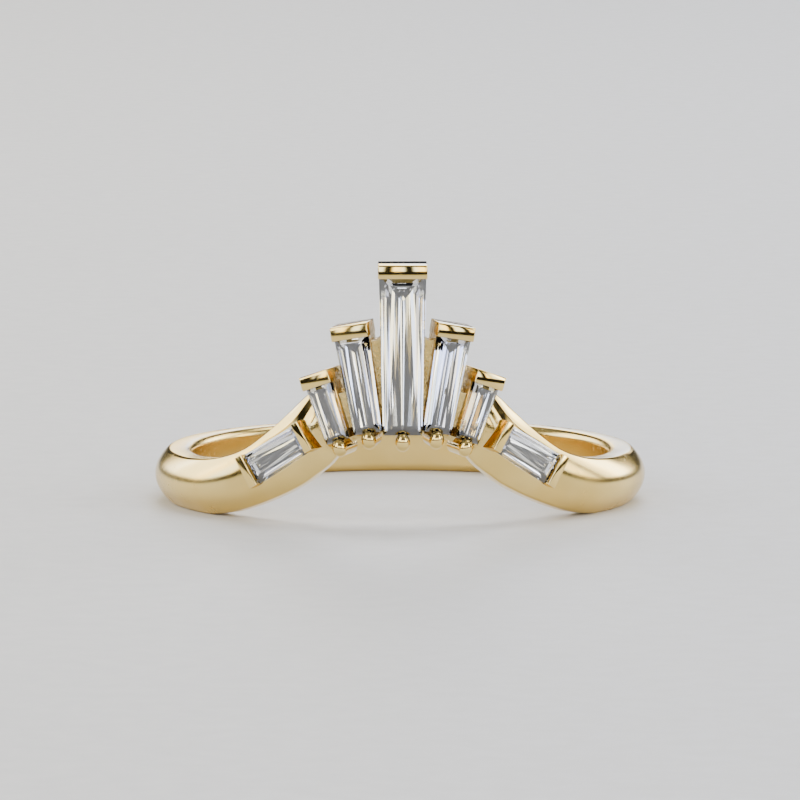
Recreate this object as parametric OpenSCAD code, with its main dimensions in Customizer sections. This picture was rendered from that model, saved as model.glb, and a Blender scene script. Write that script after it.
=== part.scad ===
// Curved ring with a fan of five step-cut stones and one more stone on each shoulder.
// It lies on its side: the finger goes through along Z, and the fan is at the front, towards -Y.

/* [Finger hole] */
// Inner diameter of the band
finger_d = 17; // [16:0.2:18.6]

/* [Band] */
// Width of the band at the back and sides
band_w = 2.1; // [1.8:0.05:2.4]
// Thickness of the band at its crown
band_t = 1.5; // [1.4:0.05:1.7]
// How far the edges of the outer face fall below its crown
band_dome = 0.55; // [0.4:0.05:0.6]
// Rounding of the inner edges for comfort
comfort_r = 0.35; // [0.2:0.05:0.4]

/* [Stones] */
// Height of the girdle above the finger hole
girdle_rise = 1.5; // [1.44:0.02:1.56]
// Height of the crown above the girdle
crown_h = 0.22; // [0.16:0.02:0.28]
// Thickness of the girdle
girdle_t = 0.05; // [0.03:0.01:0.08]
// Air gap all round a stone in its seat
seat_gap = 0.03; // [0.02:0.01:0.04]

/* [Setting] */
// Thickness of the walls under the stones
wall_t = 0.26; // [0.22:0.02:0.32]
// Size of an end bar along its stone
bar_h = 0.55; // [0.45:0.05:0.6]
// Size of a shoulder bar along its stone
shoulder_bar_h = 0.34; // [0.28:0.02:0.4]
// How far a bar stands above the girdle
bar_rise = 0.38; // [0.3:0.02:0.45]
// How far a bar laps over the end of its stone
bar_lap = 0.12; // [0.08:0.01:0.15]
// Width of the bead prongs
bead_w = 0.6; // [0.5:0.02:0.66]
// Length of the bead prongs along their stones
bead_l = 0.74; // [0.66:0.02:0.8]

/* [Hidden] */

finger_r = finger_d / 2;
crown_r = finger_r + band_t;
girdle_r = finger_r + girdle_rise;
arc_fn = 96;
tiny = 0.01;

// Columns: azimuth from the front, height of the middle, lean, length, width at the top, width at the bottom,
// extra height above the finger hole
AZIMUTH = 0; MIDDLE = 1; LEAN = 2; LENGTH = 3; W_TOP = 4; W_BOTTOM = 5; EXTRA = 6;
CENTER = [0, 6.9, 0, 6.36, 1.88, 1.54, 0];
INNER = [9.8, 5.74, 10, 3.94, 1.4, 1.12, 0];
OUTER = [17.1, 4.6, 19.6, 2.43, 1.14, 0.98, 0];
SHOULDER = [29.6, 2.85, -59, 2.86, 1.24, 1.33, 0.05];

// Columns: angle from the front, height of the lower edge, height of the upper edge,
// height of the crown above the finger hole as a share of band_t, fall to the lower edge and to the upper edge
// as shares of band_dome
ANGLE = 0; LOW = 1; HIGH = 2; THICK = 3; FALL_LOW = 4; FALL_HIGH = 5;
BAND_ROWS = [
    [0, 3.66, 5.3, 0.32, 0.1, 0.1],
    [8, 3.6, 5.3, 0.34, 0.1, 0.1],
    [14, 3.15, 5.45, 0.55, 0.15, 0.3],
    [18, 2.42, 5.5, 0.74, 0.25, 0.7],
    [21, 2.03, 5.45, 0.88, 0.4, 1.1],
    [24, 1.66, 5.2, 0.97, 0.6, 1.45],
    [29, 1.22, 4.47, 1, 0.7, 1.5],
    [35, 0.8, 3.55, 1, 0.8, 0.95],
    [41, 0.46, 2.86, 1, 0.9, 0.7],
    [48, 0.16, 2.46, 1, 1, 0.7],
    [56, 0, 2.24, 1.02, 1, 0.85],
    [70, 0, band_w, 1.03, 1, 1],
    [120, 0, band_w, 0.98, 1, 1],
    [180, 0, band_w, 0.93, 1, 1]
];

// A value from a column of the band's rows, on a smooth curve through them
function row_slope(c, i) =
    i == 0 || i == len(BAND_ROWS) - 1 ? 0
    : (BAND_ROWS[i + 1][c] - BAND_ROWS[i - 1][c]) / (BAND_ROWS[i + 1][ANGLE] - BAND_ROWS[i - 1][ANGLE]);
function row_before(a, i = 0) = i < len(BAND_ROWS) - 2 && BAND_ROWS[i + 1][ANGLE] <= a ? row_before(a, i + 1) : i;
function band_value(c, a) =
    let (i = row_before(a), p = BAND_ROWS[i], q = BAND_ROWS[i + 1], span = q[ANGLE] - p[ANGLE],
         t = (a - p[ANGLE]) / span, m0 = row_slope(c, i) * span, m1 = row_slope(c, i + 1) * span)
    p[c] * (2 * t ^ 3 - 3 * t ^ 2 + 1) + m0 * (t ^ 3 - 2 * t ^ 2 + t)
    + q[c] * (3 * t ^ 2 - 2 * t ^ 3) + m1 * (t ^ 3 - t ^ 2);

// The band's section at an angle, as [radius, height] points: rounded inside, flat sides, domed outside
dome_steps = 8;
comfort_steps = 3;
bore_cut = 0.05;
function band_section(a) =
    let (low = max(0, band_value(LOW, a)), high = band_value(HIGH, a), top_r = finger_r + band_t * band_value(THICK, a),
         fall_low = band_dome * band_value(FALL_LOW, a), fall_high = band_dome * band_value(FALL_HIGH, a),
         mid = (low + high) / 2, half = (high - low) / 2)
    concat(
        [for (i = [0:comfort_steps]) let (f = 90 * i / comfort_steps)
            [finger_r - bore_cut + comfort_r * (1 - sin(f)), low + comfort_r * (1 - cos(f))]],
        [for (i = [comfort_steps:-1:0]) let (f = 90 * i / comfort_steps)
            [finger_r - bore_cut + comfort_r * (1 - sin(f)), high - comfort_r * (1 - cos(f))]],
        [for (i = [0:dome_steps]) let (s = cos(180 * i / dome_steps))
            [top_r - (s > 0 ? fall_high : fall_low) * s * s, mid + half * s]]
    );

// Angles of the band's sections: close together over the curved front, wider apart at the back
front_step = 3;
back_step = 6;
front_span = 72;
BAND_ANGLES = concat([for (a = [-front_span:front_step:front_span]) a],
                     [for (a = [front_span + back_step:back_step:360 - front_span - back_step]) a]);

module band_loft() {
    sections = [for (a = BAND_ANGLES) band_section(abs(a > 180 ? a - 360 : a))];
    n = len(sections[0]);
    m = len(BAND_ANGLES);
    points = [for (j = [0:m - 1]) for (p = sections[j])
        [p[0] * sin(BAND_ANGLES[j]), -p[0] * cos(BAND_ANGLES[j]), p[1]]];
    faces = [for (j = [0:m - 1]) for (i = [0:n - 1])
        let (a = j * n + i, b = j * n + (i + 1) % n, c = ((j + 1) % m) * n + (i + 1) % n, d = ((j + 1) % m) * n + i)
        each [[a, c, b], [a, d, c]]];
    polyhedron(points, faces);
}

// Puts its children on the ring: local Y runs up, local Z outwards, and the origin lies on the girdle
module on_ring(row, side) {
    rotate([0, 0, side * row[AZIMUTH]])
        translate([0, -girdle_r - row[EXTRA], row[MIDDLE]])
            rotate([90, 0, 0])
                rotate([0, 0, -side * row[LEAN]])
                    children();
}

// Corners of a stone's outline at the girdle, moved inwards by `sides` and by `ends`
function side_slope(row) = (row[W_TOP] - row[W_BOTTOM]) / 2 / row[LENGTH];
function half_width(row, y) = (row[W_TOP] + row[W_BOTTOM]) / 4 + side_slope(row) * y;
function outline(row, sides, ends) =
    let (y = row[LENGTH] / 2 - ends, top = half_width(row, y) - sides, bottom = half_width(row, -y) - sides)
    [[-bottom, -y], [bottom, -y], [top, y], [-top, y]];

// Levels of a step cut: height above the girdle, and how far in its sides and its ends lie there, as shares
// of half the narrow end. The last level is the keel.
function keel_depth(row) = max(row[W_TOP], row[W_BOTTOM]) * 0.45 + 0.18;
function cut_levels(row) =
    let (w = min(row[W_TOP], row[W_BOTTOM]) / 2, depth = keel_depth(row))
    [
        [crown_h, 0.42 * w, 0.46 * w],
        [crown_h * 0.68, 0.22 * w, 0.24 * w],
        [0, 0, 0],
        [-girdle_t, 0, 0],
        [-depth * 0.4, 0.28 * w, 0.34 * w],
        [-depth * 0.75, 0.62 * w, 0.76 * w],
        [-depth, 0.93 * w, 1.25 * w]
    ];

// A step-cut stone: table, two crown steps, girdle, three pavilion steps and keel. `grow` makes its seat.
module step_cut(row, grow = 0) {
    levels = cut_levels(row);
    n = len(levels);
    points = [for (k = [0:n - 1]) let (lift = k == 0 ? grow : k == n - 1 ? -grow : 0)
        for (p = outline(row, levels[k][1] - grow, levels[k][2] - grow)) [p[0], p[1], levels[k][0] + lift]];
    sides = [for (k = [0:n - 2]) for (i = [0:3])
        [k * 4 + i, k * 4 + (i + 1) % 4, (k + 1) * 4 + (i + 1) % 4, (k + 1) * 4 + i]];
    polyhedron(points, concat([[3, 2, 1, 0]], sides, [[for (i = [0:3]) (n - 1) * 4 + i]]));
}

// Wall round a fan stone, from the finger hole up to its girdle, flush with the edge of the stone
module collet(row) {
    translate([0, 0, -girdle_rise])
        linear_extrude(girdle_rise - girdle_t)
            polygon(outline(row, 0, 0));
}

// Open window under a stone, from its pavilion through to the finger hole
module window(row) {
    below = 1;
    translate([0, 0, -girdle_rise - below])
        linear_extrude(girdle_rise + below - 0.8 * keel_depth(row))
            polygon(outline(row, wall_t, wall_t * 1.4));
}

// Flat bar that laps over an end of a stone: end is 1 at the top and -1 at the bottom
module end_bar(row, end, size, overhang) {
    chamfer = 0.07;
    half = half_width(row, end * row[LENGTH] / 2) + overhang;
    near = row[LENGTH] / 2 - bar_lap;
    far = near + size;
    translate([0, 0, -girdle_rise + 0.1])
        linear_extrude(girdle_rise - 0.1 + bar_rise)
            scale([1, end])
                polygon([[-half, near], [half, near], [half, far - chamfer], [half - chamfer, far],
                         [chamfer - half, far], [-half, far - chamfer]]);
}

// Oval prong that ends in a bead over the lower end of a fan stone
module bead_prong(row) {
    lap = 0.1;
    rise = 0.1;
    r = bead_w / 2;
    translate([0, -row[LENGTH] / 2 - bead_l / 2 + lap, 0])
        scale([1, bead_l / bead_w, 1]) {
            translate([0, 0, -girdle_rise + 0.1])
                cylinder(r = r * 0.94, h = girdle_rise - 0.1 + rise, $fn = arc_fn);
            translate([0, 0, rise])
                sphere(r = r, $fn = arc_fn);
        }
}

// Web that joins two neighbouring fan stones, with a rounded saddle at its top
module web(azimuth, lean, bottom, top, half_top) {
    web_depth = 1.05;
    saddle_r = half_top * 0.8;
    rotate([0, 0, azimuth])
        translate([0, -finger_r - web_depth, 0])
            rotate([90, 0, 0])
                rotate([0, 0, -lean])
                    translate([0, 0, -web_depth])
                        linear_extrude(web_depth)
                            difference() {
                                polygon([[-0.2, bottom], [0.2, bottom], [half_top, top], [-half_top, top]]);
                                translate([0, top])
                                    circle(r = saddle_r, $fn = arc_fn);
                            }
}

module fan() {
    for (side = [-1, 1]) {
        for (row = [INNER, OUTER])
            on_ring(row, side) {
                collet(row);
                end_bar(row, 1, bar_h, 0.05);
                bead_prong(row);
            }
        // Both webs lean with the gap that they fill; their heights are those of the shorter stone beside them
        web(side * 2.8, side * 4.85, 4.15, 7.75, 0.34);
        web(side * 6.3, side * 14.5, 4.1, 5.75, 0.3);
    }
    on_ring(CENTER, 1) {
        collet(CENTER);
        end_bar(CENTER, 1, bar_h, 0.04);
        bead_prong(CENTER);
    }
}

module shoulder_bars() {
    for (side = [-1, 1])
        on_ring(SHOULDER, side)
            for (end = [-1, 1])
                end_bar(SHOULDER, end, shoulder_bar_h, 0.02);
}

module ring_mount() {
    color("gold")
        difference() {
            union() {
                band_loft();
                fan();
                shoulder_bars();
            }
            translate([0, 0, -1])
                cylinder(r = finger_r, h = 14, $fn = arc_fn);
            on_ring(CENTER, 1) {
                step_cut(CENTER, seat_gap);
                window(CENTER);
            }
            for (side = [-1, 1])
                for (row = [INNER, OUTER, SHOULDER])
                    on_ring(row, side) {
                        step_cut(row, seat_gap);
                        window(row);
                    }
        }
}

module stone(row, side) {
    color("white")
        on_ring(row, side)
            step_cut(row);
}

ring_mount();
stone(CENTER, 1);  // stone_center
stone(INNER, -1);  // stone_inner_left
stone(INNER, 1);  // stone_inner_right
stone(OUTER, -1);  // stone_outer_left
stone(OUTER, 1);  // stone_outer_right
stone(SHOULDER, -1);  // stone_shoulder_left
stone(SHOULDER, 1);  // stone_shoulder_right
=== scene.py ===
"""Curved gold ring with a fan of five step-cut stones and one more on each shoulder, lying on its side.

The metal is one cast piece: a swept band, the collets under the fan, webs with round saddles, end bars and
bead prongs. Each stone is a step cut with a table, crown steps, a girdle, pavilion steps and a keel.
Shapes are in millimetres until a piece is finished. Materials, lights and the camera are in metres.
"""

import logging
import math
from dataclasses import dataclass, field
from enum import Enum

import bmesh
import bpy
from mathutils import Matrix, Vector


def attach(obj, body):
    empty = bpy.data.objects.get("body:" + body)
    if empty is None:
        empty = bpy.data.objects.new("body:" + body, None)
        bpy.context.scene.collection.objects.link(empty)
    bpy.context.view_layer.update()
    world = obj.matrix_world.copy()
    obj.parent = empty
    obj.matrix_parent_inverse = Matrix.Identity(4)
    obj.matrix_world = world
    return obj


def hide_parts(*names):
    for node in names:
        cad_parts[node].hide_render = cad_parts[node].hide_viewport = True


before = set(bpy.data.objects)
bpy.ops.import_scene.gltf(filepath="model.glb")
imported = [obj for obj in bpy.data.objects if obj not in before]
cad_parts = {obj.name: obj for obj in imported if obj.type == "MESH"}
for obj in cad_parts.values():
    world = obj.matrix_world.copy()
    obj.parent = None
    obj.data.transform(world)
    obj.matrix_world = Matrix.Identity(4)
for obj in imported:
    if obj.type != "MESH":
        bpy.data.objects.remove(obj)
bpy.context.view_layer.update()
LOG = logging.getLogger("ring")
MM = 0.001
Colour = tuple[float, float, float, float]


class Side(Enum):
    """Half of the ring that a piece belongs to, seen from the front."""

    LEFT = -1
    RIGHT = 1


class Cut(Enum):
    """What a boolean step does with its tools."""

    JOIN = "UNION"
    REMOVE = "DIFFERENCE"


# Node helpers


@dataclass
class NodeBoard:
    """Node tree with short calls for adding and linking nodes."""

    tree: bpy.types.NodeTree

    def add(self, kind: str, **settings: object) -> bpy.types.Node:
        """Add a node and set its plain properties.

        Args:
            kind: Blender's name for the node type.
            **settings: Properties to set on the node.

        Returns:
            The new node.
        """
        node = self.tree.nodes.new(kind)
        for name, value in settings.items():
            setattr(node, name, value)
        return node

    def link(self, source: bpy.types.NodeSocket, target: bpy.types.NodeSocket) -> None:
        """Link one socket to another."""
        self.tree.links.new(source, target)

    def feed(self, node: bpy.types.Node, **inputs: object) -> bpy.types.Node:
        """Fill a node's inputs with values or links.

        Args:
            node: The node to fill.
            **inputs: Socket names, with underscores for spaces, and the value or socket for each.

        Returns:
            The same node.
        """
        for name, value in inputs.items():
            socket = node.inputs[int(name[1:])] if name[1:].isdigit() else node.inputs[name.replace("_", " ")]
            if isinstance(value, bpy.types.NodeSocket):
                self.link(value, socket)
            else:
                socket.default_value = value
        return node

    def maths(self, operation: str, *values: object) -> bpy.types.NodeSocket:
        """Add a Math node.

        Args:
            operation: The operation's name, such as MULTIPLY.
            *values: Numbers or sockets for its inputs.

        Returns:
            The result's socket.
        """
        node = self.add("ShaderNodeMath", operation=operation)
        self.feed(node, **{f"i{i}": value for i, value in enumerate(values)})
        return node.outputs[0]

    def spread(self, value: bpy.types.NodeSocket, low: float, high: float, to_low: float, to_high: float
               ) -> bpy.types.NodeSocket:
        """Map a value from one range to another, clamped.

        Args:
            value: The value to map.
            low: Where the range begins.
            high: Where the range ends.
            to_low: Result at the beginning.
            to_high: Result at the end.

        Returns:
            The result's socket.
        """
        node = self.add("ShaderNodeMapRange", interpolation_type="SMOOTHSTEP")
        self.feed(node, Value=value, From_Min=low, From_Max=high, To_Min=to_low, To_Max=to_high)
        return node.outputs[0]

    def blend(self, share: object, first: object, second: object) -> bpy.types.NodeSocket:
        """Mix two colours.

        Args:
            share: Share of the second colour.
            first: Colour at share 0.
            second: Colour at share 1.

        Returns:
            The mixed colour's socket.
        """
        node = self.add("ShaderNodeMix", data_type="RGBA")
        self.feed(node, i0=share, i6=first, i7=second)
        return node.outputs[2]

    def ramp(self, value: bpy.types.NodeSocket, stops: tuple[tuple[float, Colour], ...]
             ) -> bpy.types.NodeSocket:
        """Turn a value into a colour.

        Args:
            value: The value to read.
            stops: Places from 0 to 1 with their colours, in order.

        Returns:
            The colour's socket.
        """
        node = self.add("ShaderNodeValToRGB")
        elements = node.color_ramp.elements
        for element, (spot, colour) in zip(elements, (stops[0], stops[-1])):
            element.position, element.color = spot, colour
        for spot, colour in stops[1:-1]:
            elements.new(spot).color = colour
        self.link(value, node.inputs[0])
        return node.outputs[0]


def new_group(name: str, inputs: dict[str, float], outputs: dict[str, str], placed: bool = True
              ) -> tuple[NodeBoard, bpy.types.Node, bpy.types.Node]:
    """Start a shader node group.

    Args:
        name: The group's name.
        inputs: Names and default values of its number inputs.
        outputs: Names and socket types of its outputs.
        placed: Whether it has a vector input named Place before the others.

    Returns:
        The group's board, its input node and its output node.
    """
    tree = bpy.data.node_groups.new(name, "ShaderNodeTree")
    if placed:
        tree.interface.new_socket(name="Place", in_out="INPUT", socket_type="NodeSocketVector")
    for label, value in inputs.items():
        socket = tree.interface.new_socket(name=label, in_out="INPUT", socket_type="NodeSocketFloat")
        socket.default_value = value
    for label, kind in outputs.items():
        tree.interface.new_socket(name=label, in_out="OUTPUT", socket_type=kind)
    board = NodeBoard(tree)
    return board, board.add("NodeGroupInput"), board.add("NodeGroupOutput")


class SharedEffects:
    """Node groups that the finishes are made with, each built once."""

    def __init__(self) -> None:
        """Build the groups."""
        self.polish = self._polish_marks()
        self.edge_and_nook_masks = self._edges_and_nooks()
        self.fire = self._facet_fire()

    def _polish_marks(self) -> bpy.types.NodeTree:
        """Make hairlines, haze and slight waviness left by polishing.

        Returns:
            A group with outputs Haze, Hairlines and Height.
        """
        board, given, result = new_group(
            "PolishMarks", {"Waves": 900.0, "Grain": 9000.0, "Stretch": 0.05},
            {"Haze": "NodeSocketFloat", "Hairlines": "NodeSocketFloat", "Height": "NodeSocketFloat"})
        place = given.outputs["Place"]
        waves = board.feed(board.add("ShaderNodeTexNoise"), Vector=place, Scale=given.outputs["Waves"],
                           Detail=2.0)
        haze = board.spread(waves.outputs[0], 0.35, 0.68, 0.0, 1.0)
        stretch = board.feed(board.add("ShaderNodeCombineXYZ"), X=1.0, Y=1.0, Z=given.outputs["Stretch"])
        # Two crossed sets of hairlines, turned by these angles in radians
        sets = []
        for turn in (0.5, -0.9):
            turned = board.feed(board.add("ShaderNodeVectorRotate", rotation_type="EULER_XYZ"),
                                Vector=place, Rotation=(0.3, turn, turn * 0.7))
            long = board.add("ShaderNodeVectorMath", operation="MULTIPLY")
            board.feed(long, i0=turned.outputs[0], i1=stretch.outputs[0])
            grain = board.feed(board.add("ShaderNodeTexNoise"), Vector=long.outputs[0],
                               Scale=given.outputs["Grain"], Detail=1.0)
            sets.append(board.spread(grain.outputs[0], 0.64, 0.74, 0.0, 1.0))
        hairlines = board.maths("MAXIMUM", *sets)
        height = board.maths("SUBTRACT", waves.outputs[0], board.maths("MULTIPLY", hairlines, 0.04))
        board.link(haze, result.inputs["Haze"])
        board.link(hairlines, result.inputs["Hairlines"])
        board.link(height, result.inputs["Height"])
        return board.tree

    def _edges_and_nooks(self) -> bpy.types.NodeTree:
        """Make masks for edges, which are worn and get a painted highlight, and for nooks, which polish can't
        reach and which get painted shade.

        Returns:
            A group with outputs Edges and Nooks.
        """
        board, given, result = new_group(
            "EdgesAndNooks", {"Reach": 0.0005, "Rim": 0.0001, "Speckle": 3500.0},
            {"Edges": "NodeSocketFloat", "Nooks": "NodeSocketFloat"})
        speckle = board.feed(board.add("ShaderNodeTexNoise"), Vector=given.outputs["Place"],
                             Scale=given.outputs["Speckle"], Detail=3.0)
        uneven = board.spread(speckle.outputs[0], 0.35, 0.65, 0.6, 1.0)
        shape = board.add("ShaderNodeNewGeometry")
        # Edges mask: where bevelled normals part from the true ones; the gold paints a highlight there along
        # with the worn look
        rounded = board.feed(board.add("ShaderNodeBevel", samples=4), Radius=given.outputs["Rim"])
        agree = board.add("ShaderNodeVectorMath", operation="DOT_PRODUCT")
        board.feed(agree, i0=rounded.outputs[0], i1=shape.outputs["Normal"])
        edges = board.spread(agree.outputs["Value"], 0.88, 0.99, 1.0, 0.0)
        # Nooks mask from ambient occlusion: the gold paints shade into its colour with it, and also roughens
        # it and adds a cast grain there
        hollow = board.feed(board.add("ShaderNodeAmbientOcclusion", samples=6, only_local=True),
                            Distance=given.outputs["Reach"])
        nooks = board.spread(hollow.outputs["AO"], 0.25, 0.8, 1.0, 0.0)
        board.link(board.maths("MULTIPLY", edges, uneven), result.inputs["Edges"])
        board.link(board.maths("MULTIPLY", nooks, uneven), result.inputs["Nooks"])
        return board.tree

    def _facet_fire(self) -> bpy.types.NodeTree:
        """Make painted fire: faint colours that stand in for the light a stone's facets split off, one hue
        for each facet direction.

        Returns:
            A group with output Tint.
        """
        board, given, result = new_group(
            "FacetFire", {"Strength": 0.1}, {"Tint": "NodeSocketColor"}, placed=False)
        shape = board.add("ShaderNodeNewGeometry")
        facing = board.add("ShaderNodeVectorMath", operation="MULTIPLY")
        board.feed(facing, i0=shape.outputs["True Normal"], i1=(5.1, 3.3, 6.7))
        pick = board.feed(board.add("ShaderNodeTexNoise"), Vector=facing.outputs[0], Scale=1.0, Detail=0.0)
        hue = board.ramp(pick.outputs[0], (
            (0.4, (0.62, 0.66, 1.0, 1.0)), (0.46, (0.97, 0.97, 1.0, 1.0)),
            (0.54, (1.0, 1.0, 0.98, 1.0)), (0.6, (1.0, 0.97, 0.6, 1.0))))
        clear = (0.985, 0.99, 0.99, 1.0)
        board.link(board.blend(given.outputs["Strength"], clear, hue), result.inputs["Tint"])
        return board.tree


# Finishes


def new_material(name: str) -> tuple[bpy.types.Material, NodeBoard, bpy.types.Node, bpy.types.NodeSocket]:
    """Start a node material with a Principled BSDF.

    Args:
        name: The material's name.

    Returns:
        The material, its board, its Principled BSDF and the socket of Object coordinates.
    """
    material = bpy.data.materials.new(name)
    material.use_nodes = True
    board = NodeBoard(material.node_tree)
    shader = next(n for n in material.node_tree.nodes if n.type == "BSDF_PRINCIPLED")
    place = board.add("ShaderNodeTexCoord").outputs["Object"]
    return material, board, shader, place


@dataclass(frozen=True)
class PolishedGold:
    """Yellow gold: bright front, softer shank, hairlines, haze, worn edges with a painted highlight, and
    nooks with painted shade and a cast grain.

    Depths and reaches are in metres, and a pattern's scale is in waves to the metre. The satin begins between
    two places along Y.
    """

    colour: Colour = (0.88, 0.65, 0.225, 1.0)
    warm: Colour = (0.80, 0.56, 0.155, 1.0)
    warm_share: float = 0.5
    # Painted edge highlight: paler gold laid on the worn edges
    edge: Colour = (0.97, 0.84, 0.62, 1.0)
    edge_share: float = 0.6
    edge_reach: float = 0.00009
    # Painted shade: dark brown that the nooks mask lays into the gold's colour
    nook_shade: Colour = (0.19, 0.14, 0.07, 1.0)
    nook_shade_share: float = 0.65
    nook_reach: float = 0.0006
    nook_rough: float = 0.18
    speckle_scale: float = 2600.0
    shine: tuple[float, float] = (0.04, 0.1)
    satin: float = 0.14
    satin_begins: tuple[float, float] = (-0.009, -0.006)
    hairline_scale: float = 5200.0
    hairline_stretch: float = 0.06
    hairline_rough: float = 0.06
    wave_scale: float = 420.0
    wave_depth: float = 0.00002
    wave_strength: float = 0.12
    cast_scale: float = 9000.0
    cast_depth: float = 0.00012
    cast_strength: float = 0.7

    def make(self, effects: SharedEffects) -> bpy.types.Material:
        """Build the material.

        Args:
            effects: The shared node groups.

        Returns:
            The material.
        """
        material, board, shader, place = new_material("polished_gold")
        marks = board.feed(board.add("ShaderNodeGroup", node_tree=effects.polish), Place=place,
                           Waves=self.wave_scale, Grain=self.hairline_scale, Stretch=self.hairline_stretch)
        edge_and_nook_masks = board.feed(board.add("ShaderNodeGroup", node_tree=effects.edge_and_nook_masks), Place=place,
                          Reach=self.nook_reach, Rim=self.edge_reach, Speckle=self.speckle_scale)
        haze, edges, nooks = marks.outputs["Haze"], edge_and_nook_masks.outputs["Edges"], edge_and_nook_masks.outputs["Nooks"]
        body = board.blend(board.maths("MULTIPLY", haze, self.warm_share), self.colour, self.warm)
        # Edges get paler gold: worn metal with a painted highlight
        worn_and_highlighted = board.blend(board.maths("MULTIPLY", edges, self.edge_share), body, self.edge)
        # Painted shade: the nooks are darkened towards dark brown in the base colour
        with_painted_shade = board.blend(board.maths("MULTIPLY", nooks, self.nook_shade_share), worn_and_highlighted, self.nook_shade)
        board.link(with_painted_shade, shader.inputs["Base Color"])
        split = board.feed(board.add("ShaderNodeSeparateXYZ"), Vector=place)
        rough = board.spread(haze, 0.0, 1.0, *self.shine)
        for more in (board.maths("MULTIPLY", marks.outputs["Hairlines"], self.hairline_rough),
                     board.maths("MULTIPLY", nooks, self.nook_rough),
                     board.spread(split.outputs["Y"], *self.satin_begins, 0.0, self.satin)):
            rough = board.maths("ADD", rough, more)
        board.link(rough, shader.inputs["Roughness"])
        wavy = board.feed(board.add("ShaderNodeBump"), Strength=self.wave_strength, Distance=self.wave_depth,
                          Height=marks.outputs["Height"])
        grain = board.feed(board.add("ShaderNodeTexNoise"), Vector=place, Scale=self.cast_scale, Detail=1.0)
        cast = board.feed(board.add("ShaderNodeBump"), Strength=self.cast_strength, Distance=self.cast_depth,
                          Height=board.maths("MULTIPLY", grain.outputs[0], nooks), Normal=wavy.outputs[0])
        board.link(cast.outputs[0], shader.inputs["Normal"])
        shader.inputs["Metallic"].default_value = 1.0
        return material


@dataclass(frozen=True)
class ClearStone:
    """Colourless stone with a high index of refraction, a trace of painted fire in its facets and faint
    hairlines.
    """

    index: float = 2.42
    fire: float = 0.6
    hairline_scale: float = 9000.0
    hairline_stretch: float = 0.05
    hairline_rough: float = 0.02

    def make(self, effects: SharedEffects) -> bpy.types.Material:
        """Build the material.

        Args:
            effects: The shared node groups.

        Returns:
            The material.
        """
        material, board, shader, place = new_material("clear_stone")
        tint = board.feed(board.add("ShaderNodeGroup", node_tree=effects.fire), Strength=self.fire)
        # Painted fire: the facet tints in the stone's colour stand in for light split into colours
        board.link(tint.outputs["Tint"], shader.inputs["Base Color"])
        marks = board.feed(board.add("ShaderNodeGroup", node_tree=effects.polish), Place=place,
                           Grain=self.hairline_scale, Stretch=self.hairline_stretch)
        rough = board.maths("MULTIPLY", marks.outputs["Hairlines"], self.hairline_rough)
        board.link(rough, shader.inputs["Roughness"])
        shader.inputs["IOR"].default_value = self.index
        shader.inputs["Transmission Weight"].default_value = 1.0
        shader.inputs["Metallic"].default_value = 0.0
        return material


@dataclass(frozen=True)
class PaleFloor:
    """Matte, pale studio board with a fine grain."""

    light: Colour = (0.68, 0.678, 0.672, 1.0)
    dim: Colour = (0.63, 0.628, 0.622, 1.0)
    grain_scale: float = 900.0
    rough: tuple[float, float] = (0.5, 0.62)

    def make(self) -> bpy.types.Material:
        """Build the material.

        Returns:
            The material.
        """
        material, board, shader, place = new_material("pale_floor")
        grain = board.feed(board.add("ShaderNodeTexNoise"), Vector=place, Scale=self.grain_scale, Detail=3.0)
        board.link(board.blend(grain.outputs[0], self.light, self.dim), shader.inputs["Base Color"])
        board.link(board.spread(grain.outputs[0], 0.2, 0.8, *self.rough), shader.inputs["Roughness"])
        return material


# Shapes


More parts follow.
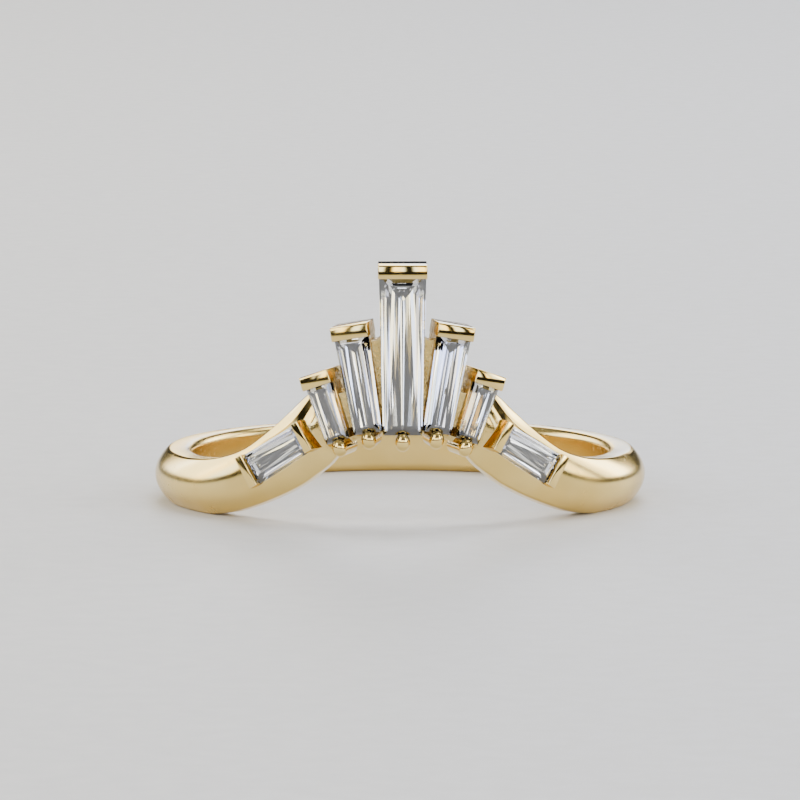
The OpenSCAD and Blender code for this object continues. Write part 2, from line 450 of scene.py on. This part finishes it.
class Solid:
    """Closed shape in millimetres that bmesh operators build and that is then set in place."""

    def __init__(self) -> None:
        """Start with an empty mesh."""
        self.mesh = bmesh.new()

    @classmethod
    def prism(cls, corners: list[tuple[float, float]], low: float, high: float) -> "Solid":
        """Extrude a flat outline.

        Args:
            corners: The outline's corners.
            low: Height of the bottom.
            high: Height of the top.

        Returns:
            The solid.
        """
        solid = cls()
        base = solid.mesh.faces.new([solid.mesh.verts.new((x, y, low)) for x, y in corners])
        solid._raise([base], (0, 0, high - low))
        return solid.tidy()

    @classmethod
    def post(cls, radius: float, low: float, high: float, neck: float = 0.94, sides: int = 48) -> "Solid":
        """Spin a post with a domed end.

        Args:
            radius: Radius of the dome.
            low: Height of the foot.
            high: Height of the dome's centre.
            neck: Radius of the post as a share of the dome's.
            sides: Steps of the spin.

        Returns:
            The solid.
        """
        solid = cls()
        rim = math.asin(neck)
        swing, steps = math.pi - rim, 16
        profile = [(0, low), (radius * neck, low), (radius * neck, high - radius * math.cos(rim) * 0.99)]
        for f in (swing - swing * i / steps for i in range(steps + 1)):
            profile.append((radius * math.sin(f), high + radius * math.cos(f)))
        verts = [solid.mesh.verts.new((max(r, 0.0), 0, z)) for r, z in profile]
        edges = [solid.mesh.edges.new(pair) for pair in zip(verts, verts[1:])]
        bmesh.ops.spin(solid.mesh, geom=verts + edges, cent=(0, 0, 0), axis=(0, 0, 1), dvec=(0, 0, 0),
                       angle=2 * math.pi, steps=sides, use_merge=True, use_duplicate=False)
        return solid.tidy()

    def _raise(self, faces: list[bmesh.types.BMFace], by: tuple[float, float, float]) -> None:
        """Extrude faces, keep them as the bottom, and move the new ones."""
        made = bmesh.ops.extrude_face_region(self.mesh, geom=faces, use_keep_orig=True)
        verts = [part for part in made["geom"] if isinstance(part, bmesh.types.BMVert)]
        bmesh.ops.translate(self.mesh, vec=by, verts=verts)

    def tidy(self, gap: float = 1e-5) -> "Solid":
        """Merge doubles and turn the faces outwards.

        Args:
            gap: Greatest distance between two doubles.

        Returns:
            This solid.
        """
        bmesh.ops.remove_doubles(self.mesh, verts=self.mesh.verts[:], dist=gap)
        bmesh.ops.recalc_face_normals(self.mesh, faces=self.mesh.faces[:])
        return self

    def soften(self, width: float, segments: int = 3, sharper_than: float = 30.0) -> "Solid":
        """Bevel the sharp edges.

        Args:
            width: Width of the bevel.
            segments: Rows of faces in it.
            sharper_than: Least angle between two faces, in degrees, for their edge to count.

        Returns:
            This solid.
        """
        limit = math.radians(sharper_than)
        edges = [e for e in self.mesh.edges if e.calc_face_angle(0.0) > limit]
        bmesh.ops.bevel(self.mesh, geom=edges, offset=width, offset_type="OFFSET", segments=segments,
                        profile=0.5, affect="EDGES", clamp_overlap=True, material=-1)
        return self.tidy()

    def cut(self, point: Vector, normal: Vector) -> None:
        """Cut away everything in front of a plane and close the cut.

        Args:
            point: Point on the plane.
            normal: Direction to the side that goes.
        """
        parts = self.mesh.verts[:] + self.mesh.edges[:] + self.mesh.faces[:]
        found = bmesh.ops.bisect_plane(self.mesh, geom=parts, dist=1e-6, plane_co=point, plane_no=normal,
                                       clear_outer=True)["geom_cut"]
        rim = [part for part in found if isinstance(part, bmesh.types.BMEdge) and part.is_boundary]
        if rim:
            bmesh.ops.edgeloop_fill(self.mesh, edges=rim)

    def moved(self, matrix: Matrix) -> "Solid":
        """Set the shape in place.

        Args:
            matrix: Where it goes.

        Returns:
            This solid.
        """
        bmesh.ops.transform(self.mesh, matrix=matrix, verts=self.mesh.verts[:])
        if matrix.determinant() < 0:
            bmesh.ops.reverse_faces(self.mesh, faces=self.mesh.faces[:])
        return self

    def stored(self, name: str) -> bpy.types.Object:
        """Turn the shape into an object, still in millimetres.

        Args:
            name: The object's name.

        Returns:
            The object, linked to the scene.
        """
        data = bpy.data.meshes.new(name)
        self.mesh.to_mesh(data)
        self.mesh.free()
        item = bpy.data.objects.new(name, data)
        bpy.context.scene.collection.objects.link(item)
        return item


def combine(base: bpy.types.Object, tools: list[Solid], how: Cut) -> None:
    """Join tools to an object, or cut them out of it.

    Args:
        base: The object to change.
        tools: The solids to use. They are used up.
        how: Whether to join or to remove.
    """
    helpers = [tool.stored(f"tool_{i}") for i, tool in enumerate(tools)]
    for helper in helpers:
        step = base.modifiers.new("step", "BOOLEAN")
        step.operation, step.solver, step.object = how.value, "MANIFOLD", helper
    ready = base.evaluated_get(bpy.context.evaluated_depsgraph_get())
    result = bpy.data.meshes.new_from_object(ready)
    base.modifiers.clear()
    old, base.data = base.data, result
    bpy.data.meshes.remove(old)
    for helper in helpers:
        data = helper.data
        bpy.data.objects.remove(helper)
        bpy.data.meshes.remove(data)


def finish_piece(item: bpy.types.Object, material: bpy.types.Material, nodes: list[str],
                 smooth_under: float) -> None:
    """Bring a piece to metres, shade it and tie it to the frame.

    Args:
        item: The piece.
        material: Its material.
        nodes: The CAD nodes that it stands for.
        smooth_under: Greatest angle, in degrees, that still shades smoothly.
    """
    item.data.transform(Matrix.Scale(MM, 4))
    item.data.materials.clear()
    item.data.materials.append(material)
    item.data.shade_smooth()
    item.data.set_sharp_from_angle(angle=math.radians(smooth_under))
    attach(item, "root")
    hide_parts(*nodes)
    LOG.info("%s: %d faces", item.name, len(item.data.polygons))


# The ring's plan


FINGER_R = 8.5
GIRDLE_R = 10.0
GIRDLE_T = 0.05


@dataclass(frozen=True)
class SeatPlan:
    """Place and size of a stone and its seat.

    Azimuth and lean are in degrees, from the front and from upright, for the right half of the ring. Middle
    is the height of the stone's centre, and top and bottom are its widths at its two ends.
    """

    name: str
    azimuth: float
    middle: float
    lean: float
    length: float
    top: float
    bottom: float
    girdle_r: float = GIRDLE_R

    def frame(self, side: Side) -> Matrix:
        """Matrix that puts local Y along the stone and local Z outwards.

        Args:
            side: Half of the ring.

        Returns:
            The matrix.
        """
        s = side.value
        return (Matrix.Rotation(math.radians(s * self.azimuth), 4, "Z")
                @ Matrix.Translation((0, -self.girdle_r, self.middle))
                @ Matrix.Rotation(math.radians(90), 4, "X")
                @ Matrix.Rotation(math.radians(-s * self.lean), 4, "Z"))

    def half_width(self, y: float) -> float:
        """Half of the stone's width at a place along it."""
        return (self.top + self.bottom) / 4 + (self.top - self.bottom) / 2 / self.length * y

    def outline(self, sides: float, ends: float) -> list[tuple[float, float]]:
        """Corners of the stone's outline, moved inwards.

        Args:
            sides: How far in the long sides go.
            ends: How far in the ends go.

        Returns:
            Four corners.
        """
        y = self.length / 2 - ends
        top, bottom = self.half_width(y) - sides, self.half_width(-y) - sides
        return [(-bottom, -y), (bottom, -y), (top, y), (-top, y)]

    @property
    def depth(self) -> float:
        """Depth of the pavilion under the girdle."""
        return max(self.top, self.bottom) * 0.45 + 0.18


CENTER = SeatPlan("center", azimuth=0, middle=6.9, lean=0, length=6.36, top=1.88, bottom=1.54)
INNER = SeatPlan("inner", azimuth=9.8, middle=5.74, lean=10, length=3.94, top=1.4, bottom=1.12)
OUTER = SeatPlan("outer", azimuth=17.1, middle=4.6, lean=19.6, length=2.43, top=1.14, bottom=0.98)
SHOULDER = SeatPlan("shoulder", azimuth=29.6, middle=2.85, lean=-59, length=2.86, top=1.24, bottom=1.33,
                    girdle_r=GIRDLE_R + 0.05)
SEATS = [(CENTER, Side.RIGHT)] + [(plan, side) for plan in (INNER, OUTER, SHOULDER) for side in Side]


@dataclass(frozen=True)
class FacetRow:
    """Row of facets round a stone, given by where its far edge lies and by its pitch in degrees."""

    height: float
    sides: float
    ends: float
    pitch: float = 0.0


@dataclass
class StepCut:
    """Step-cut stone: table, crown rows, girdle, pavilion rows and keel, each facet cut by one plane.

    Heights are shares of the crown or of the pavilion's depth, and insets are shares of half the stone's
    width. A pitched row runs deeper towards the stone's upper end. The block is the uncut depth, as a share
    of the pavilion's.
    """

    plan: SeatPlan
    crown: float = 0.22
    block: float = 1.6
    crown_rows: tuple[FacetRow, ...] = (
        FacetRow(0.52, 0.15, 0.16), FacetRow(0.84, 0.31, 0.33), FacetRow(1.0, 0.42, 0.46))
    pavilion_rows: tuple[FacetRow, ...] = (
        FacetRow(0.19, 0.1, 0.08), FacetRow(0.36, 0.215, 0.175, 0.4), FacetRow(0.53, 0.355, 0.3, 1.3),
        FacetRow(0.7, 0.53, 0.45, 2.6), FacetRow(0.86, 0.745, 0.63, 3.6), FacetRow(1.0, 1.0, 0.88, 4.8))

    def solid(self, grow: float = 0.0) -> Solid:
        """Cut the stone out of a block, row by row.

        Args:
            grow: How much larger than the stone it is all round, as for its seat.

        Returns:
            The stone in its own axes.
        """
        plan = self.plan
        solid = Solid.prism(plan.outline(-grow, -grow), -self.block * plan.depth, self.crown + grow)
        self._cut_rows(solid, self.crown_rows, 0.0, self.crown, grow)
        self._cut_rows(solid, self.pavilion_rows, -GIRDLE_T, GIRDLE_T - plan.depth, grow)
        return solid.tidy()

    def _cut_rows(self, solid: Solid, rows: tuple[FacetRow, ...], start: float, reach: float,
                  grow: float) -> None:
        """Cut the rows of the crown or of the pavilion.

        Args:
            solid: The block.
            rows: The rows, from the girdle on.
            start: Height of the girdle's edge.
            reach: Height from there to the table or the keel.
            grow: How far out the planes are moved.
        """
        plan, half = self.plan, self.plan.half_width(0)
        widest, taper = max(plan.top, plan.bottom) / 2, (plan.top - plan.bottom) / 2 / plan.length
        near = FacetRow(0.0, 0.0, 0.0)
        deep = reach * (half / widest if reach < 0 else 1.0)
        for row in rows:
            fall = deep * (row.height - near.height)
            middle = start + deep * near.height
            run = half * (row.sides - near.sides)
            along = Vector((taper * (1 - near.sides), 1.0, -math.tan(math.radians(row.pitch))))
            side = along.cross(Vector((-run, 0.0, fall))).normalized()
            side *= 1 if side.x > 0 else -1
            end = Vector((0.0, abs(fall), math.copysign(half * (row.ends - near.ends), reach))).normalized()
            for turn in (1, -1):
                normal = Vector((side.x * turn, side.y, side.z))
                solid.cut(Vector((half * (1 - near.sides) * turn, 0.0, middle)) + normal * grow, normal)
                normal = Vector((0.0, end.y * turn, end.z))
                spot = (plan.length / 2 - half * near.ends) * turn
                solid.cut(Vector((0.0, spot, middle)) + normal * grow, normal)
            near = row


@dataclass(frozen=True)
class BandRow:
    """Section of the band at an angle from the front: its low and high sides, thickness and dome.

    The falls are how much lower the dome lies at its low and high edge than at its middle.
    """

    angle: float
    low: float
    high: float
    thick: float
    fall_low: float
    fall_high: float


@dataclass
class Band:
    """Swept band: round inside, flat polished sides, domed outside, rising to the fan at the front."""

    comfort: float = 0.3
    edge: float = 0.07
    steps: int = 240
    rows: tuple[BandRow, ...] = (
        BandRow(0, 3.66, 5.3, 0.48, 0.055, 0.055),
        BandRow(8, 3.6, 5.3, 0.51, 0.055, 0.055),
        BandRow(14, 3.15, 5.45, 0.825, 0.08, 0.165),
        BandRow(18, 2.42, 5.5, 1.11, 0.14, 0.385),
        BandRow(21, 2.03, 5.45, 1.32, 0.22, 0.605),
        BandRow(24, 1.66, 5.2, 1.455, 0.33, 0.8),
        BandRow(29, 1.22, 4.47, 1.5, 0.385, 0.825),
        BandRow(35, 0.8, 3.55, 1.5, 0.44, 0.52),
        BandRow(41, 0.46, 2.86, 1.5, 0.495, 0.385),
        BandRow(48, 0.16, 2.46, 1.5, 0.55, 0.385),
        BandRow(56, 0.0, 2.24, 1.53, 0.55, 0.47),
        BandRow(70, 0.0, 2.1, 1.545, 0.55, 0.55),
        BandRow(120, 0.0, 2.1, 1.47, 0.55, 0.55),
        BandRow(180, 0.0, 2.1, 1.395, 0.55, 0.55))

    def value(self, column: str, angle: float) -> float:
        """Read a column at an angle, on a smooth curve through the rows.

        Args:
            column: Name of the column.
            angle: Degrees from the front.

        Returns:
            The value there.
        """
        rows = self.rows
        i = max(k for k in range(len(rows) - 1) if rows[k].angle <= angle or k == 0)

        def slope(k: int) -> float:
            """Find the slope of the curve at a row.

            Args:
                k: The row's number.

            Returns:
                The slope, level at the first and last row.
            """
            if k in (0, len(rows) - 1):
                return 0.0
            rise = getattr(rows[k + 1], column) - getattr(rows[k - 1], column)
            return rise / (rows[k + 1].angle - rows[k - 1].angle)

        span = rows[i + 1].angle - rows[i].angle
        t = (angle - rows[i].angle) / span
        p, q = getattr(rows[i], column), getattr(rows[i + 1], column)
        return (p * (2 * t**3 - 3 * t**2 + 1) + slope(i) * span * (t**3 - 2 * t**2 + t)
                + q * (3 * t**2 - 2 * t**3) + slope(i + 1) * span * (t**3 - t**2))

    def section(self, angle: float) -> list[tuple[float, float]]:
        """Section at an angle, as radius and height, with the same number of points at every angle.

        Args:
            angle: Degrees from the front.

        Returns:
            The points, from the inner low edge round to the outer low edge.
        """
        low, high = max(0.0, self.value("low", angle)), self.value("high", angle)
        top = FINGER_R + self.value("thick", angle)
        fall_low, fall_high = self.value("fall_low", angle), self.value("fall_high", angle)
        mid, half, soft = (low + high) / 2, (high - low) / 2, self.comfort
        turns = [math.radians(90 * i / 6) for i in range(7)]
        inner = [(FINGER_R + soft * (1 - math.sin(f)), soft * (1 - math.cos(f))) for f in turns]
        reach = 1 - self.edge / half
        outer = [(top - (fall_high if s > 0 else fall_low) * s * s, mid + half * s)
                 for s in (reach * math.cos(math.pi * i / 24) for i in range(25))]
        # Round edge between a flat side and the dome: shares of the edge's size, inwards and along the height
        bend = ((1.3, 0.0), (0.45, 0.14), (0.05, 0.5))
        return [*((r, low + z) for r, z in inner),
                *((r, high - z) for r, z in inner[::-1]),
                *((top - fall_high - self.edge * a, high - self.edge * b) for a, b in bend),
                *outer,
                *((top - fall_low - self.edge * a, low + self.edge * b) for a, b in bend[::-1])]

    def solid(self) -> Solid:
        """Spin one section into a ring and then move each point onto the section at its angle.

        Returns:
            The band.
        """
        solid = Solid()
        place = solid.mesh.verts.layers.int.new("place")
        verts = []
        for i, (r, z) in enumerate(self.section(90)):
            verts.append(solid.mesh.verts.new((0, -r, z)))
            verts[-1][place] = i
        edges = [solid.mesh.edges.new((a, b)) for a, b in zip(verts, verts[1:] + verts[:1])]
        bmesh.ops.spin(solid.mesh, geom=verts + edges, cent=(0, 0, 0), axis=(0, 0, 1), dvec=(0, 0, 0),
                       angle=2 * math.pi, steps=self.steps, use_merge=True, use_duplicate=False)
        sections: dict[int, list[tuple[float, float]]] = {}
        for vert in solid.mesh.verts:
            around = math.degrees(math.atan2(vert.co.x, -vert.co.y))
            key = round(abs(around) * 1000)
            if key not in sections:
                sections[key] = self.section(abs(around))
            r, z = sections[key][vert[place]]
            turn = math.radians(around)
            vert.co = (r * math.sin(turn), -r * math.cos(turn), z)
        return solid.tidy()


@dataclass(frozen=True)
class WebPlan:
    """Web in a gap of the fan: degrees from the front and from upright, foot and top heights, half width."""

    azimuth: float
    lean: float
    bottom: float
    top: float
    half_top: float


@dataclass
class Setting:
    """Collets, webs, end bars and bead prongs that hold the stones.

    Depths and rises are measured inwards and outwards from a stone's girdle, and laps are how far metal
    covers a stone's end. The foot is how far bars and prongs stop short of the finger hole. The pillow is the
    range of angles, in degrees, that a bar's rounded face turns through.
    """

    depth: float = 1.5
    seat_gap: float = 0.03
    wall: float = 0.26
    foot: float = 0.1
    bar: float = 0.55
    bar_rise: float = 0.38
    bar_lap: float = 0.12
    bar_softness: float = 0.09
    pillow: tuple[float, float] = (-3.0, 14.0)
    overhang: float = 0.05
    center_overhang: float = 0.04
    shoulder_bar: float = 0.34
    shoulder_overhang: float = 0.02
    bead_w: float = 0.6
    bead_l: float = 0.74
    bead_rise: float = 0.1
    bead_lap: float = 0.1
    web_depth: float = 1.05
    webs: tuple[WebPlan, ...] = (WebPlan(2.8, 4.85, 4.15, 7.75, 0.34), WebPlan(6.3, 14.5, 4.1, 5.75, 0.3))

    def collet(self, plan: SeatPlan) -> Solid:
        """Wall under a fan stone, from the finger hole up to its girdle."""
        return Solid.prism(plan.outline(0, 0), -self.depth, -GIRDLE_T)

    def window(self, plan: SeatPlan) -> Solid:
        """Opening under a stone, from its pavilion through to the finger hole."""
        return Solid.prism(plan.outline(self.wall, self.wall * 1.4), -self.depth - 1, -0.8 * plan.depth)

    def end_bar(self, plan: SeatPlan, end: int, size: float, overhang: float) -> Solid:
        """Bar with a slightly rounded face and soft edges that laps over an end of a stone.

        Args:
            plan: The stone's plan.
            end: 1 for the top end and -1 for the bottom end.
            size: Size along the stone.
            overhang: How far it reaches past the stone's sides.

        Returns:
            The bar in the stone's axes.
        """
        half = plan.half_width(end * plan.length / 2) + overhang
        near = (plan.length / 2 - self.bar_lap) * end
        far = (plan.length / 2 - self.bar_lap + size) * end
        bar = Solid.prism([(-half, near), (half, near), (half, far), (-half, far)], self.foot - self.depth,
                          self.bar_rise)
        first, last = (math.radians(angle) for angle in self.pillow)
        curve = size / (math.sin(last) - math.sin(first))
        crest = min(near, far) - curve * math.sin(first)
        for angle in (first + (last - first) * i / 7 for i in range(8)):
            across, out = math.sin(angle), math.cos(angle)
            spot = Vector((0, crest + curve * across, self.bar_rise - curve * (1 - out)))
            bar.cut(spot, Vector((0, across, out)))
        return bar.soften(self.bar_softness)

    def bead(self, plan: SeatPlan) -> Solid:
        """Make the oval prong with a domed end over the lower end of a fan stone.

        Args:
            plan: The stone's plan.

        Returns:
            The prong in the stone's axes.
        """
        post = Solid.post(self.bead_w / 2, self.foot - self.depth, self.bead_rise)
        y = self.bead_lap - plan.length / 2 - self.bead_l / 2
        oval = Matrix.Scale(self.bead_l / self.bead_w, 4, (0, 1, 0))
        return post.moved(Matrix.Translation((0, y, 0)) @ oval)

    def web(self, plan: WebPlan, side: Side) -> Solid:
        """Make a web between two fan stones, with a round saddle at its top.

        Args:
            plan: The web's plan.
            side: Half of the ring.

        Returns:
            The web in place.
        """
        saddle, half_foot = plan.half_top * 0.8, 0.2
        turns = [math.pi * i / 16 for i in range(17)]
        arc = [(saddle * math.cos(f), plan.top - saddle * math.sin(f)) for f in turns]
        corners = [(-half_foot, plan.bottom), (half_foot, plan.bottom), (plan.half_top, plan.top), *arc,
                   (-plan.half_top, plan.top)]
        web = Solid.prism(corners, -self.web_depth, 0.0)
        return web.moved(Matrix.Rotation(math.radians(side.value * plan.azimuth), 4, "Z")
                         @ Matrix.Translation((0, -FINGER_R - self.web_depth, 0))
                         @ Matrix.Rotation(math.radians(90), 4, "X")
                         @ Matrix.Rotation(math.radians(-side.value * plan.lean), 4, "Z"))

    def added(self) -> list[Solid]:
        """Everything that is soldered to the band.

        Returns:
            The solids in place.
        """
        parts = []
        for plan, side in SEATS:
            place = plan.frame(side)
            if plan is SHOULDER:
                made = [self.end_bar(plan, end, self.shoulder_bar, self.shoulder_overhang) for end in (1, -1)]
            else:
                overhang = self.center_overhang if plan is CENTER else self.overhang
                made = [self.collet(plan), self.end_bar(plan, 1, self.bar, overhang), self.bead(plan)]
            parts += [part.moved(place) for part in made]
        return parts + [self.web(plan, side) for side in Side for plan in self.webs]

    def removed(self) -> list[Solid]:
        """Everything that is cut out: the finger hole, the seats and the windows.

        Returns:
            The solids in place.
        """
        hole, below, above = Solid(), 1.0, 15.0
        bmesh.ops.create_cone(hole.mesh, cap_ends=True, segments=240, radius1=FINGER_R, radius2=FINGER_R,
                              depth=above + below)
        hole.moved(Matrix.Translation((0, 0, (above - below) / 2)))
        parts = [hole.tidy()]
        for plan, side in SEATS:
            place = plan.frame(side)
            parts += [StepCut(plan).solid(self.seat_gap).moved(place), self.window(plan).moved(place)]
        return parts


@dataclass
class GoldMount:
    """The whole metal part: band and setting in one."""

    band: Band = field(default_factory=Band)
    setting: Setting = field(default_factory=Setting)

    def build(self, gold: bpy.types.Material) -> bpy.types.Object:
        """Build, join, cut and dress the mount.

        Args:
            gold: Its material.

        Returns:
            The finished piece.
        """
        mount = self.band.solid().stored("gold_mount")
        combine(mount, self.setting.added(), Cut.JOIN)
        combine(mount, self.setting.removed(), Cut.REMOVE)
        finish_piece(mount, gold, ["ring_mount"], 34)
        return mount


@dataclass
class StoneSet:
    """The seven stones."""

    def build(self, clear: bpy.types.Material) -> list[bpy.types.Object]:
        """Build and dress the stones.

        Args:
            clear: Their material.

        Returns:
            The finished pieces.
        """
        pieces = []
        for plan, side in SEATS:
            name = plan.name if plan is CENTER else f"{plan.name}_{side.name.lower()}"
            stone = StepCut(plan).solid().moved(plan.frame(side)).stored(f"baguette_{name}")
            finish_piece(stone, clear, [f"stone_{name}"], 1)
            pieces.append(stone)
        return pieces


# The studio


@dataclass(frozen=True)
class Softbox:
    """Area light that faces the ring: angles in degrees, distance and size in metres, power in watts."""

    name: str
    azimuth: float
    elevation: float
    distance: float
    size: tuple[float, float]
    power: float
    colour: tuple[float, float, float] = (1.0, 1.0, 1.0)

    def place(self, aim: Vector) -> None:
        """Put the light in the scene.

        Args:
            aim: Point that it faces.
        """
        lamp = bpy.data.lights.new(self.name, "AREA")
        lamp.shape, (lamp.size, lamp.size_y) = "RECTANGLE", self.size
        lamp.energy, lamp.color = self.power, self.colour
        item = bpy.data.objects.new(self.name, lamp)
        a, e = math.radians(self.azimuth), math.radians(self.elevation)
        spot = Vector((math.sin(a) * math.cos(e), -math.cos(a) * math.cos(e), math.sin(e))) * self.distance
        item.location = aim + spot
        item.rotation_euler = (-spot).to_track_quat("-Z", "Y").to_euler()
        bpy.context.scene.collection.objects.link(item)


@dataclass(frozen=True)
class Surroundings:
    """Walls of the studio: bright overhead, dark at eye level, with upright lit strips above the dark band.

    The strips are narrow ahead of the ring and wide elsewhere, and their light goes from warm to cool and
    back. Greys have places from 0, straight down, to 1, straight up. Strips begin and end at the z of a
    direction, and the front is a range of its y.
    """

    greys: tuple[tuple[float, float], ...] = (
        (0.0, 0.5), (0.48, 0.3), (0.51, 0.05), (0.78, 0.04), (0.86, 0.6), (1.0, 0.95))
    begin: tuple[float, float] = (0.11, 0.14)
    end: tuple[float, float] = (0.38, 0.5)
    front: tuple[float, float] = (-0.8, -0.7)
    warm: Colour = (11.0, 9.8, 7.0, 1.0)
    cool: Colour = (7.6, 8.6, 11.6, 1.0)
    strength: float = 0.5

    def build(self) -> None:
        """Give the scene its world."""
        world = bpy.data.worlds.new("surroundings")
        world.use_nodes = True
        bpy.context.scene.world = world
        board = NodeBoard(world.node_tree)
        place = board.add("ShaderNodeTexCoord").outputs["Generated"]
        x, y, z = board.feed(board.add("ShaderNodeSeparateXYZ"), Vector=place).outputs
        height = board.maths("MULTIPLY_ADD", z, 0.5, 0.5)
        walls = board.ramp(height, tuple((spot, (grey, grey, grey, 1.0)) for spot, grey in self.greys))
        around = board.maths("ARCTAN2", x, y)
        tall = board.maths("MULTIPLY", board.spread(z, *self.begin, 0.0, 1.0),
                           board.spread(z, *self.end, 1.0, 0.0))
        share = board.maths("MULTIPLY", self._strips(board, around, y), tall)
        hue = board.spread(self._wave(board, around, 17.0, 0.0), -0.6, 0.6, 0.0, 1.0)
        glow = board.blend(hue, self.warm, self.cool)
        back = next(n for n in world.node_tree.nodes if n.type == "BACKGROUND")
        board.feed(back, Color=board.blend(share, walls, glow), Strength=self.strength)

    def _wave(self, board: NodeBoard, around: bpy.types.NodeSocket, count: float, shift: float
              ) -> bpy.types.NodeSocket:
        """Make a sine wave round the ring, as a socket: a count of waves, moved by a shift in radians."""
        return board.maths("SINE", board.maths("MULTIPLY_ADD", around, count, shift))

    def _strips(self, board: NodeBoard, around: bpy.types.NodeSocket, y: bpy.types.NodeSocket
                ) -> bpy.types.NodeSocket:
        """Make the mask of the lit strips.

        Args:
            board: The world's board.
            around: Angle of a direction round the ring, in radians.
            y: The direction's y, which is -1 straight ahead.

        Returns:
            The mask's socket.
        """
        mixed = board.maths("MULTIPLY_ADD", self._wave(board, around, 5.0, 2.0), 0.6,
                            self._wave(board, around, 9.0, 0.8))
        wide = board.spread(mixed, -0.2, 0.5, 0.0, 1.0)
        narrow = board.spread(self._wave(board, around, 26.0, 0.7), -0.9, 0.4, 0.0, 1.0)
        return board.blend(board.spread(y, *self.front, 1.0, 0.0), wide, narrow)


@dataclass(frozen=True)
class PhotoCamera:
    """Camera at the photograph's angle: low, in front, and far enough for a long lens.

    The focal length, and how far the ring's foot lies below the picture's middle, are in the photograph's
    pixels.
    """

    distance: float = 0.3
    elevation: float = 7.3
    turn: float = 0.6
    focal_px: float = 7320.0
    ring_drop_px: float = 96.6
    photo_px: float = 800.0
    sensor: float = 36.0

    def place(self) -> None:
        """Put the camera in the scene."""
        turn, pitch = math.radians(self.turn), math.radians(self.elevation)
        tilt = pitch - math.atan2(self.ring_drop_px, self.focal_px)
        ahead = Vector((math.sin(turn), math.cos(turn), 0.0))
        view = ahead * math.cos(tilt) - Vector((0.0, 0.0, math.sin(tilt)))
        data = bpy.data.cameras.new("camera")
        data.sensor_width, data.lens = self.sensor, self.sensor * self.focal_px / self.photo_px
        data.clip_start, data.clip_end = 0.01, 20.0
        item = bpy.data.objects.new("camera", data)
        item.location = (Vector((0.0, 0.0, math.sin(pitch))) - ahead * math.cos(pitch)) * self.distance
        item.rotation_euler = view.to_track_quat("-Z", "Y").to_euler()
        bpy.context.scene.collection.objects.link(item)
        bpy.context.scene.camera = item


@dataclass
class Studio:
    """Pale floor, soft lights, surroundings and camera."""

    aim: tuple[float, float, float] = (0.0, -0.002, 0.004)
    floor_half: float = 2500.0
    boxes: tuple[Softbox, ...] = (
        Softbox("overhead", 150, 68, 0.55, (0.5, 0.35), 2.6),
        Softbox("front_left", -48, 34, 0.6, (0.3, 0.42), 1.6, (1.0, 0.98, 0.95)),
        Softbox("front_right", 58, 26, 0.6, (0.16, 0.4), 1.0, (0.95, 0.97, 1.0)),
        Softbox("back_left", -128, 22, 0.6, (0.3, 0.3), 1.2),
        Softbox("back_right", 128, 22, 0.6, (0.3, 0.3), 1.2))

    def floor(self) -> None:
        """Lay the pale floor under the ring."""
        board = Solid()
        bmesh.ops.create_grid(board.mesh, x_segments=8, y_segments=8, size=self.floor_half)
        item = board.stored("studio_floor")
        item.data.transform(Matrix.Scale(MM, 4))
        item.data.materials.append(PaleFloor().make())

    def build(self) -> None:
        """Set up the whole studio."""
        Surroundings().build()
        self.floor()
        for box in self.boxes:
            box.place(Vector(self.aim))
        PhotoCamera().place()


def main() -> None:
    """Build the ring and its studio in order."""
    logging.basicConfig(level=logging.INFO, format="%(name)s %(message)s")
    effects = SharedEffects()
    mount = GoldMount().build(PolishedGold().make(effects))
    stones = StoneSet().build(ClearStone().make(effects))
    Studio().build()
    LOG.info("%s and %d stones", mount.name, len(stones))


if __name__ == "__main__":
    main()
